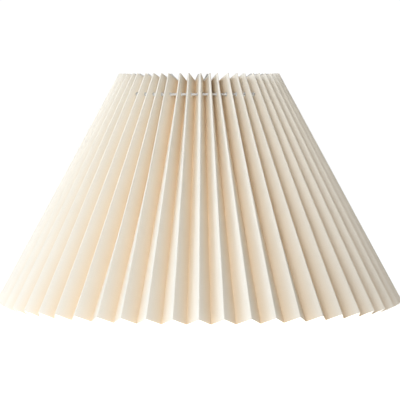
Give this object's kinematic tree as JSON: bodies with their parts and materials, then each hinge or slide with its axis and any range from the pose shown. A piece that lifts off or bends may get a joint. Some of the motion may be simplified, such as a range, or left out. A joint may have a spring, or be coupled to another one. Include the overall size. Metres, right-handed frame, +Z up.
{
  "type": "pleated lamp shade",
  "caption": "Conical accordion-pleated fabric lamp shade gathered by a cord at its neck, on a wire carrier with a fitter ring and a lift-out reducer ring.",
  "frame": {"origin": "on the shade's axis, level with the lowest points of the hem, where it stands on a table", "axes": "+Z up along the shade's axis, from the wide hem to the narrow neck; -Y is the front, and the closing seam is at the back, +Y"},
  "size_m": [0.406, 0.406, 0.2324],
  "materials": {
    "cream_fabric": "fine plain-woven cream cloth, matt",
    "white_film": "satin white stiffening film",
    "clear_tape": "double-sided tape",
    "white_cord": "twisted white cord",
    "white_wire": "white powder coat on steel wire",
    "white_pressing": "white powder coat on pressed steel",
    "white_plastic": "moulded white plastic"
  },
  "bodies": {
    "shade": {"skirt_fabric": "cream_fabric", "skirt_film": "white_film", "seam_tape": "clear_tape", "gathering_cord": "white_cord", "neck_ring": "white_wire", "hem_ring": "white_wire", "strut_1": "white_wire", "strut_2": "white_wire", "strut_3": "white_wire", "strut_4": "white_wire", "spider_arm_1": "white_wire", "spider_arm_2": "white_wire", "spider_arm_3": "white_wire", "fitter_ring": "white_pressing"},
    "reducer": {"reducer_ring": "white_plastic"}
  },
  "joints": [
    {"name": "reducer_lift", "type": "slide", "parent": "shade", "child": "reducer", "axis": [0, 0, 1], "range_m": [0, 0.07]}
  ]
}
